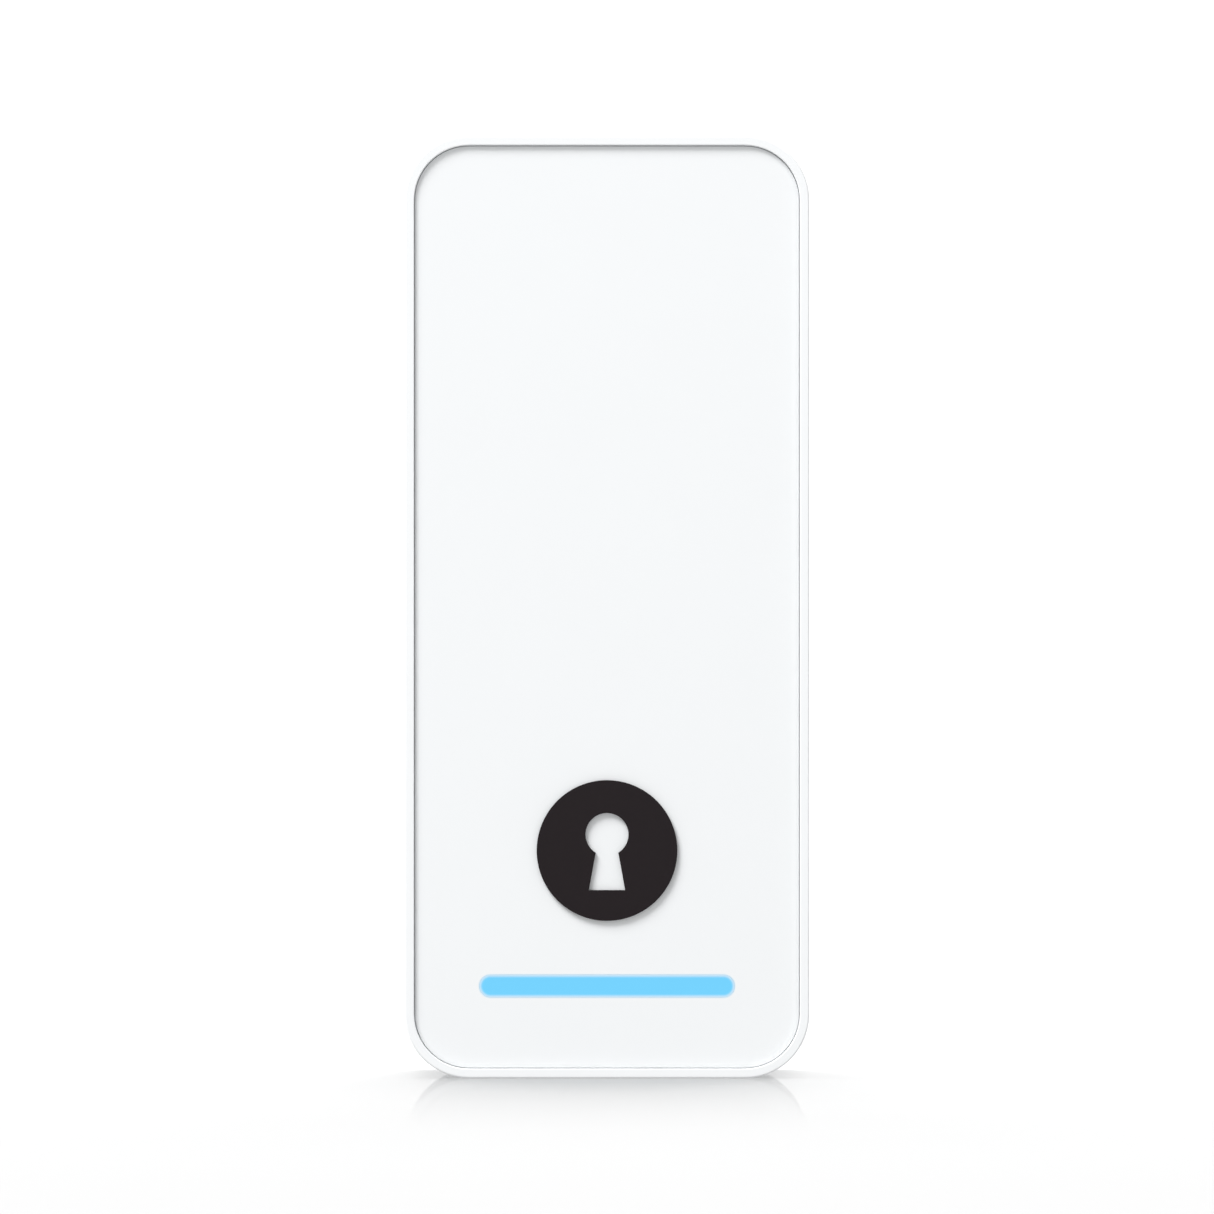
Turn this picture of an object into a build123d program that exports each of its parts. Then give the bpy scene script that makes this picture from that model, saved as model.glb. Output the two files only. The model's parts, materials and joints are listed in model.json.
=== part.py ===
from build123d import *
import os

# A slim wall reader for access cards, hung on a cast wall plate, in millimetres.
# X runs across the reader, +Y points into the wall and +Z is up. The origin is the middle
# of the wall plate's rear face. "Ahead" means the distance in front of the wall, along -Y.

# Overall
width = 48.0
height = 111.8
corner_radius = 7.6
wall = 1.6
wall_gap = 1.0  # between the wall and the housing's rear edge
front_edge_round = 0.2
rim_inner_round = 0.15
rear_edge_round = 1.0

# Front panel, badge and status light
rim_width = 1.12
panel_recess = 0.5
panel_thickness = 1.6
panel_gap = 0.06
panel_edge_round = 0.12
ledge_width = 2.1
ledge_thickness = 1.2
tape_thickness = 0.2
tape_inset = 0.3
badge_radius = 8.35
badge_thickness = 0.5
badge_above_base = 27.0
keyhole_radius = 2.55
keyhole_slot_top = 1.9
keyhole_slot_foot = 4.3
keyhole_slot_length = 6.6
keyhole_rise = 1.9
lens_length = 30.3
lens_height = 2.65
lens_gap = 0.03
lens_flange = 1.2
lens_flange_thickness = 0.6
lens_foot_thickness = 0.7
lens_foot_inset = 0.3
light_hole_margin = 0.4
light_above_base = 10.9
led_count = 6
led_pitch = 5.0
led_width = 2.0
led_length = 1.6
led_thickness = 0.7
led_window_radius = 0.55
led_window_depth = 0.2

# Wall plate, its hooks and its lock tab
plate_thickness = 1.4
plate_inset = 3.4  # from the housing's outline
plate_top_above_pin = 1.2
plate_to_cover = 0.6
plate_edge_round = 0.3
pin_radius = 1.0
pin_clearance = 0.05
pin_below_top = 3.8
pin_length = 30.0
pin_end_gap = 0.2
hook_width = 5.0
hook_spacing = 16.0
hook_lip = 0.4  # above the pin's middle
lift_room = 0.1
ear_thickness = 1.8
ear_wall = 1.0
ear_clearance = 0.4
notch_corner = 0.5
swing_room = 0.5
gang_spacing = 83.3
gang_rise = 0.0  # the screw holes' middle above the reader's middle
gang_hole_radius = 2.1
wall_screw_radius = 4.0  # room for a low head
wall_screw_height = 1.4
wall_screw_clearance = 0.2
window_width = 22.0
window_top_below_bay = 2.4
window_height = 24.5
window_corner = 3.0
tab_width = 9.0
tab_margin = 3.4
tab_bend = 0.8

# Lock screw
thread_radius = 1.5
thread_pitch = 0.5
lock_turns = 6.4
thread_clearance = 0.06
shank_clearance = 0.12
head_radius = 2.5
head_height = 1.8
head_clearance = 0.3
socket_radius = 1.25
socket_depth = 1.2
socket_pin_radius = 0.4
washer_thickness = 0.5
washer_gap = 0.02  # under the head, and above the washer when the screw is in
retainer_inset = 0.2
retainer_thickness = 0.8
retainer_lip = 0.5  # how far the ring reaches in under the head
retainer_seat = 0.3
lock_web = 1.0
lock_boss_wall = 1.2
lock_boss_rear_wall = 0.8
lock_boss_to_shelf = 0.1
tab_gap = 1.0
nut_radius = 2.9
nut_height = 1.4  # above the tab
nut_shank_radius = 2.2
port_seal_height = 0.4
port_seal_width = 0.6

# Rear cover
cover_thickness = 1.6
cover_gap = 0.15
gasket_width = 0.8
gasket_height = 0.8
shelf_width = 1.4
shelf_thickness = 1.1
hook_pocket_floor = 1.4
boss_radius = 2.2
boss_from_wall = 3.2
boss_past_corner = 0.8
boss_rib = 1.2
rib_bite = 0.3
fastener_radius = 1.0
fastener_head_radius = 1.85
fastener_head_height = 0.9
fastener_length = 7.0
fastener_play = 0.02
head_play = 0.2
head_sink = 0.05
shank_play = 0.1
label_width = 29.0
label_height = 20.0
label_thickness = 0.15
label_recess = 0.2
label_above_jack = 3.0
vent_radius = 3.0
vent_hole_radius = 0.45
vent_recess = 0.35
vent_thickness = 0.2
bay_width = 24.0
bay_wall = 1.4
bay_floor = 1.2
bay_skirt = 1.2  # the bay's wall on the lock screw's side
bay_to_board = 0.2

# Boards and inner frame
frame_thickness = 1.2
frame_gap = 0.2
board_thickness = 1.2
board_inset = 1.0
boss_room = 0.3
post_radius = 1.8
post_from_wall = 3.0
post_below_pin = 32.1
post_below_jack = 19.7
board_screw_length = 3.4
antenna_width = 34.0
antenna_height = 76.0
antenna_rise = 7.0
antenna_thickness = 0.6
antenna_corner = 3.0
ferrite_thickness = 0.3
ferrite_margin = 1.5
peg_radius = 0.8
peg_inset = 2.2
coil_turns = 4
coil_track = 0.6
coil_pitch = 1.3
coil_thickness = 0.1
coil_inset = 4.0

# Network jack
jack_width = 16.0
jack_height = 10.9
jack_length = 15.5
jack_sheet = 0.3
jack_to_cover = 0.2
jack_above_base = 49.6
plug_width = 11.9
plug_height = 6.8
latch_width = 6.4
latch_height = 1.5
plug_depth = 11.6
contact_count = 8
contact_pitch = 1.02
contact_width = 0.45
contact_thickness = 0.3
seal_thickness = 1.0
seal_margin = 0.7

# Buttons
reset_x = 17.3
reset_below_jack = 6.0
reset_radius = 1.9
reset_recess = 0.4
reset_travel = 0.5
tamper_x = 10.5
tamper_below_pin = 10.2
tamper_radius = 1.6
tamper_rest_gap = 0.1
tamper_travel = 1.2
press_gap = 0.05
button_clearance = 0.2
switch_side = 6.2
switch_height = 3.4
stub_radius = 1.2
stub_height = 0.4
switch_lead_spread = 2.0
switch_lead_reach = 0.7
switch_lead_width = 0.7
lead_sheet = 0.2
flange_extra = 0.9
flange_thickness = 0.8
guide_wall = 1.0
guide_length = 2.4

# Levels worked out from the sizes above: heights along Z, then distances ahead of the wall.
# The jack sets the depth: from the cover it stands on, the stack is added up to the rim.
top = height / 2
base = -height / 2
pin_height = top - pin_below_top
cover_low = base + wall

cover_rear = plate_thickness + plate_to_cover
cover_front = cover_rear + cover_thickness
shelf_rear = cover_front + gasket_height
jack_rear = cover_front + jack_to_cover
board_rear = jack_rear + jack_height
board_front = board_rear + board_thickness
ledge_rear = board_front + frame_thickness
ledge_front = ledge_rear + ledge_thickness
panel_rear = ledge_front + tape_thickness
panel_front = panel_rear + panel_thickness
depth = panel_front + panel_recess
bay_front = board_rear - bay_to_board - bay_floor
pin_ahead = plate_thickness + pin_radius + pin_clearance
hook_inner = pin_radius + pin_clearance
hook_outer = hook_inner + plate_thickness
hook_pocket_low = pin_height - hook_outer - pin_radius - hook_lip - lift_room
cover_high = hook_pocket_low - hook_pocket_floor
ear_radius = pin_radius + ear_wall
hook_pocket_front = pin_ahead + hook_outer + swing_room + 0.5

# The lock screw's stack, upwards from the base, with the screw backed off.
retainer_low = base + retainer_inset
retainer_high = retainer_low + retainer_thickness
head_low = retainer_high + 0.1
head_high = head_low + head_height
washer_low = head_high + washer_gap
washer_high = washer_low + washer_thickness
lock_travel = lock_turns * thread_pitch
lock_seat = washer_high + lock_travel + washer_gap
bay_low = lock_seat + lock_web
tab_low = bay_low + tab_gap
lock_bore_radius = head_radius + head_clearance
lock_hole_radius = lock_bore_radius + retainer_seat
retainer_bore = head_radius - retainer_lip
lock_boss_rear = shelf_rear + shelf_thickness + lock_boss_to_shelf
lock_ahead = lock_boss_rear + lock_boss_rear_wall + lock_bore_radius

light_height = base + light_above_base
jack_low = base + jack_above_base
bay_high = jack_low - seal_thickness - bay_wall
gang_heights = (gang_rise + gang_spacing / 2, gang_rise - gang_spacing / 2)

pocket_half = pin_length / 2 + pin_end_gap
ear_places = (ear_thickness / 2 - pocket_half, 0, pocket_half - ear_thickness / 2)
boss_x = width / 2 - wall - boss_from_wall
boss_high = cover_high - (corner_radius - wall) - boss_past_corner
boss_low = base + corner_radius + boss_past_corner
boss_places = [
    (side * boss_x, z)
    for side in (-1, 1)
    for z in (boss_low, (boss_low + boss_high) / 2, boss_high)
]
post_x = width / 2 - wall - post_from_wall
post_places = [
    (side * post_x, z)
    for side in (-1, 1)
    for z in (pin_height - post_below_pin, jack_low - post_below_jack)
]
peg_x = antenna_width / 2 - peg_inset
peg_z = antenna_height / 2 - peg_inset
peg_places = [(sx * peg_x, antenna_rise + sz * peg_z) for sx in (-1, 1) for sz in (-1, 1)]


def slab(sketch, near, far):
    """A sketch drawn in X and Z, made solid between two distances ahead of the wall."""
    return extrude(Plane.XZ.offset(near) * sketch, far - near)


def rod(radius, near, far, x=0.0, z=0.0):
    """A round bar that points out of the wall."""
    return slab(Pos(x, z) * Circle(radius), near, far)


def upright(radius, low, high, x=0.0, ahead=0.0):
    """A round bar that stands along Z."""
    bar = Cylinder(radius, high - low, align=(Align.CENTER, Align.CENTER, Align.MIN))
    return Pos(x, -ahead, low) * bar


def block(x_low, x_high, near, far, z_low, z_high):
    """A box between two places along each axis, its depth given ahead of the wall."""
    middle = ((x_low + x_high) / 2, -(near + far) / 2, (z_low + z_high) / 2)
    return Pos(*middle) * Box(x_high - x_low, far - near, z_high - z_low)


def across(sketch, x_low, x_high):
    """A sketch drawn in Y and Z, made solid between two places along X."""
    return extrude(Plane.YZ.offset(x_low) * sketch, x_high - x_low)


def outline(inset):
    """The reader's outline, moved inwards."""
    return RectangleRounded(width - 2 * inset, height - 2 * inset, corner_radius - inset)


def cover_outline(inset):
    """The opening for the rear cover, which ends below the hook pocket, moved inwards."""
    middle = (cover_low + cover_high) / 2
    sketch = RectangleRounded(
        width - 2 * (wall + inset),
        cover_high - cover_low - 2 * inset,
        corner_radius - wall - inset,
    )
    return Pos(0, middle) * sketch


def stadium(length, thickness, z=0.0):
    return Pos(0, z) * SlotOverall(length, thickness)


def front_edges(shape):
    return shape.edges().group_by(Axis.Y)[0]


def rear_edges(shape):
    return shape.edges().group_by(Axis.Y)[-1]


def ribbed(places, radius, from_wall, grow):
    """Round bosses with the ribs that tie them to the side walls, grown all round."""
    shapes = Sketch()
    reach = from_wall + rib_bite
    for x, z in places:
        side = 1 if x > 0 else -1
        shapes += Pos(x, z) * Circle(radius + grow)
        shapes += Pos(x + side * reach / 2, z) * Rectangle(reach, boss_rib + 2 * grow)
    return shapes


def boss_sketch(grow):
    """The bosses that the rear cover's screws enter."""
    return ribbed(boss_places, boss_radius, boss_from_wall, grow)


def post_sketch(grow):
    """The posts that the main board's screws enter."""
    return ribbed(post_places, post_radius, post_from_wall, grow)


# Wall side


def wall_plate():
    plate_low = base + plate_inset
    plate_high = pin_height + plate_top_above_pin
    middle = (plate_low + plate_high) / 2
    sketch = Pos(0, middle) * RectangleRounded(
        width - 2 * plate_inset, plate_high - plate_low, corner_radius - plate_inset
    )
    window_high = bay_high - window_top_below_bay
    window_middle = window_high - window_height / 2
    sketch -= Pos(0, window_middle) * RectangleRounded(window_width, window_height, window_corner)
    for z in gang_heights:
        sketch -= Pos(0, z) * Circle(gang_hole_radius)
    notch_low = pin_height - ear_radius - ear_clearance
    for x in ear_places:
        notch_width = ear_thickness + 2 * ear_clearance
        notch = RectangleRounded(notch_width, 2 * (plate_high - notch_low), notch_corner)
        sketch -= Pos(x, plate_high) * notch
    plate = slab(sketch, 0, plate_thickness)
    plate = chamfer(front_edges(plate), plate_edge_round)

    curl = Circle(hook_outer) - Circle(hook_inner)
    curl -= Pos(0, hook_outer) * Rectangle(3 * hook_outer, 2 * hook_outer)
    lip = Pos(-(hook_outer + hook_inner) / 2, hook_lip / 2) * Rectangle(plate_thickness, hook_lip)
    profile = Pos(-pin_ahead, pin_height) * (curl + lip)
    for side in (-1, 1):
        middle_x = side * hook_spacing / 2
        plate += across(profile, middle_x - hook_width / 2, middle_x + hook_width / 2)

    tab_front = lock_ahead + tab_margin
    tab = block(-tab_width / 2, tab_width / 2, 0, tab_front, tab_low, tab_low + plate_thickness)
    tab = fillet(tab.edges().filter_by(Axis.Z).group_by(Axis.Y)[0], tab_margin)
    plate += tab
    plate = fillet(bend_edges(plate), tab_bend)
    return plate - upright(nut_shank_radius, tab_low, tab_low + plate_thickness, 0, lock_ahead)


def bend_edges(plate):
    """The two inner edges where the lock tab meets the plate's front face."""
    return [
        edge
        for edge in plate.edges().filter_by(Axis.X)
        if abs(edge.center().Y + plate_thickness) < 0.01
        and tab_low - 0.01 < edge.center().Z < tab_low + plate_thickness + 0.01
        and edge.length < tab_width + 0.1
    ]


def lock_nut():
    tab_high = tab_low + plate_thickness
    nut = upright(nut_radius, tab_high, tab_high + nut_height, 0, lock_ahead)
    nut = chamfer(nut.edges().group_by(Axis.Z)[-1], 0.3)
    nut += upright(nut_shank_radius, tab_low, tab_high, 0, lock_ahead)
    return nut - upright(thread_radius + thread_clearance, tab_low, tab_high + nut_height, 0, lock_ahead)


# Casing


def housing():
    shell = slab(outline(0), wall_gap, depth)
    shell = fillet(front_edges(shell), front_edge_round)
    shell = fillet(rear_edges(shell), rear_edge_round)
    shell -= slab(outline(wall), wall_gap, ledge_rear)
    shell -= slab(outline(rim_width + ledge_width), ledge_rear, ledge_front)
    shell -= slab(outline(rim_width), ledge_front, depth)
    rim_face = shell.faces().sort_by(Axis.Y)[0]
    shell = fillet(rim_face.inner_wires()[0].edges(), rim_inner_round)

    head = slab(outline(wall), cover_rear, hook_pocket_front + hook_pocket_floor)
    head -= slab(cover_outline(0), cover_rear, hook_pocket_front + hook_pocket_floor)
    head -= block(-pocket_half, pocket_half, cover_rear, hook_pocket_front, hook_pocket_low, top - wall)
    shell += head
    half_ear = ear_thickness / 2
    ear = Pos(-pin_ahead, pin_height) * Circle(ear_radius)
    ear += Pos(-(pin_ahead + hook_pocket_front) / 2, pin_height) * Rectangle(
        hook_pocket_front - pin_ahead, 2 * ear_radius
    )
    for x in ear_places:
        shell += across(ear, x - half_ear, x + half_ear)
    pin_hole = Pos(-pin_ahead, pin_height) * Circle(pin_radius + fastener_play)
    shell -= across(pin_hole, -pocket_half, pocket_half)

    shell += slab(cover_outline(0) - cover_outline(shelf_width), shelf_rear, shelf_rear + shelf_thickness)
    bosses = slab(boss_sketch(0) & outline(wall - 0.2), shelf_rear, ledge_rear)
    for x, z in boss_places:
        bosses += rod(boss_radius, cover_front, shelf_rear, x, z)
        bosses -= rod(fastener_radius + fastener_play, cover_front, cover_front + fastener_length, x, z)
    shell += bosses
    posts = slab(post_sketch(0), board_front, ledge_front)
    for x, z in post_places:
        posts -= rod(fastener_radius + fastener_play, board_front, ledge_front - 0.2, x, z)
    shell += posts
    shell -= upright(lock_hole_radius, base, base + wall, 0, lock_ahead)
    return shell


def hanger_pin():
    profile = Pos(-pin_ahead, pin_height) * Circle(pin_radius)
    pin = across(profile, -pin_length / 2, pin_length / 2)
    return chamfer(pin.edges(), 0.2)


def front_panel():
    panel = slab(outline(rim_width + panel_gap), panel_rear, panel_front)
    panel = fillet(front_edges(panel), panel_edge_round)
    slot = stadium(lens_length + 2 * lens_gap, lens_height + 2 * lens_gap, light_height)
    return panel - slab(slot, panel_rear, panel_front)


def panel_tape():
    ring = outline(rim_width + tape_inset) - outline(rim_width + ledge_width - tape_inset)
    return slab(ring, ledge_front, panel_rear)


def keyhole_badge():
    disc = Circle(badge_radius)
    disc -= Pos(0, keyhole_rise) * Circle(keyhole_radius)
    foot = keyhole_rise - keyhole_slot_length
    disc -= Polygon(
        (-keyhole_slot_top / 2, keyhole_rise),
        (keyhole_slot_top / 2, keyhole_rise),
        (keyhole_slot_foot / 2, foot),
        (-keyhole_slot_foot / 2, foot),
        align=None,
    )
    badge = slab(Pos(0, base + badge_above_base) * disc, panel_front, panel_front + badge_thickness)
    return fillet(front_edges(badge), 0.08)


def status_lens():
    lens = slab(stadium(lens_length, lens_height, light_height), panel_rear, panel_front)
    flange = stadium(lens_length + 2 * lens_flange, lens_height + 2 * lens_flange, light_height)
    lens += slab(flange, panel_rear - lens_flange_thickness, panel_rear)
    foot = stadium(lens_length - 2 * lens_foot_inset, lens_height - 2 * lens_foot_inset, light_height)
    foot_front = panel_rear - lens_flange_thickness
    return lens + slab(foot, foot_front - lens_foot_thickness, foot_front)


# Inner frame and reading coil


def inner_frame():
    frame = slab(outline(wall + frame_gap), board_front, ledge_rear)
    collar_front = panel_rear - lens_flange_thickness
    collar = stadium(lens_length + 2 * lens_flange, lens_height + 2 * lens_flange, light_height)
    frame += slab(collar, ledge_rear, collar_front)
    frame -= slab(boss_sketch(boss_room), board_front, ledge_rear)
    frame -= slab(post_sketch(boss_room), board_front, ledge_rear)
    hole = stadium(lens_length + light_hole_margin, lens_height + light_hole_margin, light_height)
    frame -= slab(hole, board_front, collar_front)
    frame -= slab(Pos(0, connector_place()[1]) * Rectangle(9.0, 4.0), board_front, ledge_rear)
    slots = Sketch()
    for row in range(3):
        slots += Pos(0, antenna_rise - 18 + 12 * row) * SlotOverall(antenna_width - 10, 5)
    frame -= slab(slots, board_front, ledge_rear)
    peg_front = ledge_rear + ferrite_thickness + antenna_thickness
    for x, z in peg_places:
        frame += rod(peg_radius, ledge_rear, peg_front, x, z)
    return frame


def connector_place():
    """Where the coil's connector passes through the inner frame."""
    return 0.0, antenna_rise + antenna_height / 2 - 9.0


def ferrite_sheet():
    sheet = Pos(0, antenna_rise) * RectangleRounded(
        antenna_width - 2 * ferrite_margin, antenna_height - 2 * ferrite_margin, 2.0
    )
    for x, z in peg_places:
        sheet -= Pos(x, z) * Circle(peg_radius + 0.6)
    sheet -= Pos(*connector_place()) * Rectangle(9.0, 4.0)
    return slab(sheet, ledge_rear, ledge_rear + ferrite_thickness)


def antenna_board():
    board = Pos(0, antenna_rise) * RectangleRounded(antenna_width, antenna_height, antenna_corner)
    for x, z in peg_places:
        board -= Pos(x, z) * Circle(peg_radius + 0.1)
    near = ledge_rear + ferrite_thickness
    return slab(board, near, near + antenna_thickness)


def antenna_coil():
    near = ledge_rear + ferrite_thickness + antenna_thickness
    turns = Sketch()
    for turn in range(coil_turns):
        inset = coil_inset + turn * coil_pitch
        corner = max(antenna_corner - turn * 0.5, 0.9)
        loop = RectangleRounded(antenna_width - 2 * inset, antenna_height - 2 * inset, corner)
        loop -= RectangleRounded(
            antenna_width - 2 * (inset + coil_track),
            antenna_height - 2 * (inset + coil_track),
            corner - coil_track / 2,
        )
        turns += Pos(0, antenna_rise) * loop
    return slab(turns, near, near + coil_thickness)


def antenna_connector():
    x, z = connector_place()
    return slab(
        Pos(x, z) * Rectangle(7.6, 2.8), board_front, ledge_rear + ferrite_thickness
    )


# Main board


def main_board():
    sketch = outline(wall + board_inset) - boss_sketch(boss_room)
    for x, z in post_places:
        sketch -= Pos(x, z) * Circle(fastener_radius + shank_play)
    return slab(sketch, board_rear, board_front)


def on_board(sketch, thickness, lift=0.0):
    """A component on the board's rear side, rising towards the wall."""
    return slab(sketch, board_rear - lift - thickness, board_rear - lift)


def chip(x, z, size_x, size_z, thickness):
    body = on_board(Pos(x, z) * Rectangle(size_x, size_z), thickness)
    body = chamfer(rear_edges(body), 0.1)
    mark = (x - size_x / 2 + 0.9, z + size_z / 2 - 0.9)
    far = board_rear - thickness + 0.1
    return body - rod(0.35, board_rear - thickness, far, *mark)


def gull_leads(x, z, size_x, count, pitch, reach, thickness):
    """Two rows of bent leads, left and right of a chip."""
    leads = Part()
    for row in range(count):
        lead_z = z + (row - (count - 1) / 2) * pitch
        for side in (-1, 1):
            start = x + side * size_x / 2
            end = start + side * reach
            low, high = sorted((start, end))
            leads += block(low, high, board_rear - 0.15, board_rear, lead_z - 0.2, lead_z + 0.2)
            low, high = sorted((start, start + side * 0.2))
            leads += block(
                low, high, board_rear - thickness, board_rear, lead_z - 0.2, lead_z + 0.2
            )
    return leads


chips_z = jack_low + jack_length + 4.0
power_chip_z = jack_low + 16.8


def processor():
    return chip(-9.5, chips_z + 14.0, 9.0, 9.0, 0.9)


def reader_chip():
    return chip(1.5, chips_z + 15.5, 5.0, 5.0, 0.85)


def network_chip():
    return chip(9.6, chips_z + 3.7, 5.0, 5.0, 0.85)


def memory_chip():
    return chip(-9.5, chips_z + 4.0, 4.0, 5.0, 1.5)


def power_chip():
    return chip(12.4, power_chip_z, 4.0, 5.0, 1.5)


def chip_leads():
    leads = gull_leads(-9.5, chips_z + 4.0, 4.0, 4, 1.27, 1.1, 0.8)
    return leads + gull_leads(12.4, power_chip_z, 4.0, 4, 1.27, 1.1, 0.8)


def crystal():
    case = on_board(Pos(-1.5, chips_z + 10.0) * RectangleRounded(3.2, 2.5, 0.4), 0.8)
    return fillet(rear_edges(case), 0.15)


def radio_board():
    return on_board(Pos(9.5, chips_z + 17.5) * Rectangle(10.0, 14.0), 0.8)


def radio_can():
    can = on_board(Pos(9.5, chips_z + 16.0) * RectangleRounded(8.8, 9.6, 0.5), 1.5, 0.8)
    return fillet(rear_edges(can), 0.25)


def network_transformer():
    body = on_board(Pos(0, jack_low + jack_length + 5.0) * Rectangle(12.6, 8.4), 4.0)
    return chamfer(rear_edges(body), 0.35)


transformer_x = -12.9
transformer_z = jack_low + 5.0


def transformer_bobbin():
    bobbin = on_board(Pos(transformer_x, transformer_z) * Rectangle(7.4, 10.8), 1.2)
    return bobbin + on_board(Pos(transformer_x, transformer_z) * Rectangle(7.0, 6.0), 0.8, 6.2)


def transformer_winding():
    return on_board(Pos(transformer_x, transformer_z) * RectangleRounded(6.6, 5.6, 1.6), 5.0, 1.2)


def transformer_core():
    """An E-shaped pair: two outer legs joined over the top of the winding."""
    core = Part()
    for side in (-1, 1):
        leg_z = transformer_z + side * 4.4
        core += on_board(Pos(transformer_x, leg_z) * Rectangle(6.2, 1.8), 6.0, 1.2)
    return core + on_board(Pos(transformer_x, transformer_z) * Rectangle(6.2, 10.6), 1.4, 7.2)


capacitor_places = [(12.7, jack_low + 3.4), (12.7, jack_low + 10.6)]


def capacitor_cans():
    cans = Part()
    for x, z in capacitor_places:
        far = board_rear - 0.9
        can = rod(3.15, far - 6.8, far, x, z)
        cans += fillet(rear_edges(can), 0.35)
    return cans


def capacitor_bases():
    bases = Part()
    for x, z in capacitor_places:
        bases += on_board(Pos(x, z) * chamfer(Rectangle(6.6, 6.6).vertices()[2:], 1.2), 0.9)
    return bases


def power_inductor():
    body = on_board(Pos(-12.9, jack_low + 14.2) * RectangleRounded(6.2, 6.2, 1.2), 3.6)
    return fillet(rear_edges(body), 0.4)


def small_parts(places, size_x, size_z, thickness):
    parts = Part()
    for x, z in places:
        parts += on_board(Pos(x, z) * Rectangle(size_x, size_z), thickness)
    return parts


def small_capacitors():
    places = [(x, chips_z + 22.5) for x in (-14.0, -12.0, -10.0, -8.0, -6.0, -4.0)]
    places += [(-15.8, chips_z + 10.0 + 2.0 * row) for row in range(5)]
    places += [(5.6, chips_z + 7.4), (7.6, chips_z + 7.4), (9.6, chips_z + 7.4)]
    return small_parts(places, 0.8, 1.6, 0.8)


def small_resistors():
    places = [(-4.2 + 1.5 * column, chips_z + 20.4) for column in range(5)]
    places += [(side * 16.2, light_height + 8.0 + 2.2 * row) for side in (-1, 1) for row in range(4)]
    places += [(14.4, chips_z + 1.0 + 1.8 * row) for row in range(4)]
    return small_parts(places, 0.8, 1.5, 0.5)


def sounder():
    centre = (-9.0, chips_z + 30.0)
    case = rod(5.2, board_rear - 3.6, board_rear, *centre)
    case = fillet(rear_edges(case), 0.4)
    return case - rod(0.9, board_rear - 3.6, board_rear - 2.6, *centre)


def status_leds():
    led_front = board_front + led_thickness
    leds = Part()
    for place in range(led_count):
        x = (place - (led_count - 1) / 2) * led_pitch
        body = slab(Pos(x, light_height) * Rectangle(led_width, led_length), board_front, led_front)
        leds += body - rod(led_window_radius, led_front - led_window_depth, led_front, x, light_height)
    return leds


def screws(places, near, length):
    """Pan-head screws driven from the rear, with a cross recess."""
    group = Part()
    for x, z in places:
        head = rod(fastener_head_radius, near, near + fastener_head_height, x, z)
        head = fillet(rear_edges(head), 0.35)
        cross = Rectangle(2.0, 0.5) + Rectangle(0.5, 2.0)
        head -= slab(Pos(x, z) * cross, near, near + 0.55)
        shank_near = near + fastener_head_height
        group += head + rod(fastener_radius, shank_near, shank_near + length, x, z)
    return group


def board_screws():
    return screws(post_places, board_rear - fastener_head_height, board_screw_length - 0.2)


# Network jack

jack_floor = board_rear - 1.4  # the plug cavity's face next to the contacts
latch_rear = jack_floor - plug_height - latch_height


def plug_sketch(grow):
    """The plug's cross section in X and Y, with the latch on the wall side."""
    body = Pos(0, -(jack_floor - plug_height / 2)) * Rectangle(plug_width + grow, plug_height + grow)
    latch_middle = -(latch_rear + latch_height / 2)
    return body + Pos(0, latch_middle) * Rectangle(latch_width + grow, latch_height + grow)


def jack_shell():
    high = jack_low + jack_length
    half = jack_width / 2
    shell = block(-half, half, jack_rear, board_rear, jack_low, high)
    inner = half - jack_sheet
    room_low = jack_low + jack_sheet
    shell -= block(-inner, inner, jack_rear + jack_sheet, board_rear, room_low, high - jack_sheet)
    mouth = Plane.XY.offset(jack_low) * plug_sketch(0)
    return shell - extrude(mouth, jack_sheet)


def jack_body():
    inner = jack_width / 2 - jack_sheet
    low = jack_low + jack_sheet
    high = jack_low + jack_length - jack_sheet
    body = block(-inner, inner, jack_rear + jack_sheet, board_rear, low, high)
    cavity = Plane.XY.offset(low) * plug_sketch(0)
    body -= extrude(cavity, plug_depth - jack_sheet)
    for place in range(contact_count):
        x = (place - (contact_count - 1) / 2) * contact_pitch
        half = contact_width / 2 + 0.05
        body -= block(x - half, x + half, jack_floor, jack_floor + 0.5, low + 0.9, jack_low + plug_depth)
    return body


def jack_contacts():
    """Springs that lie in grooves in the jack's face and slope into the plug's cavity."""
    bottom = jack_low + 1.4
    upper = jack_low + plug_depth - 0.3
    line = Polyline(
        (-(jack_floor + 0.35), bottom),
        (-(jack_floor + 0.35), bottom + 1.8),
        (-(jack_floor - 1.7), upper - 1.6),
        (-(jack_floor - 1.9), upper),
    )
    strip = make_face(offset(line, contact_thickness / 2, side=Side.BOTH))
    contacts = Part()
    for place in range(contact_count):
        x = (place - (contact_count - 1) / 2) * contact_pitch
        contacts += across(strip, x - contact_width / 2, x + contact_width / 2)
    return contacts


def port_seal():
    low = jack_low - seal_thickness
    ring = block(-jack_width / 2, jack_width / 2, jack_rear, board_rear - bay_floor, low, jack_low)
    hole = Plane.XY.offset(low) * plug_sketch(2 * seal_margin)
    return ring - extrude(hole, seal_thickness)


# Rear cover


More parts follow.
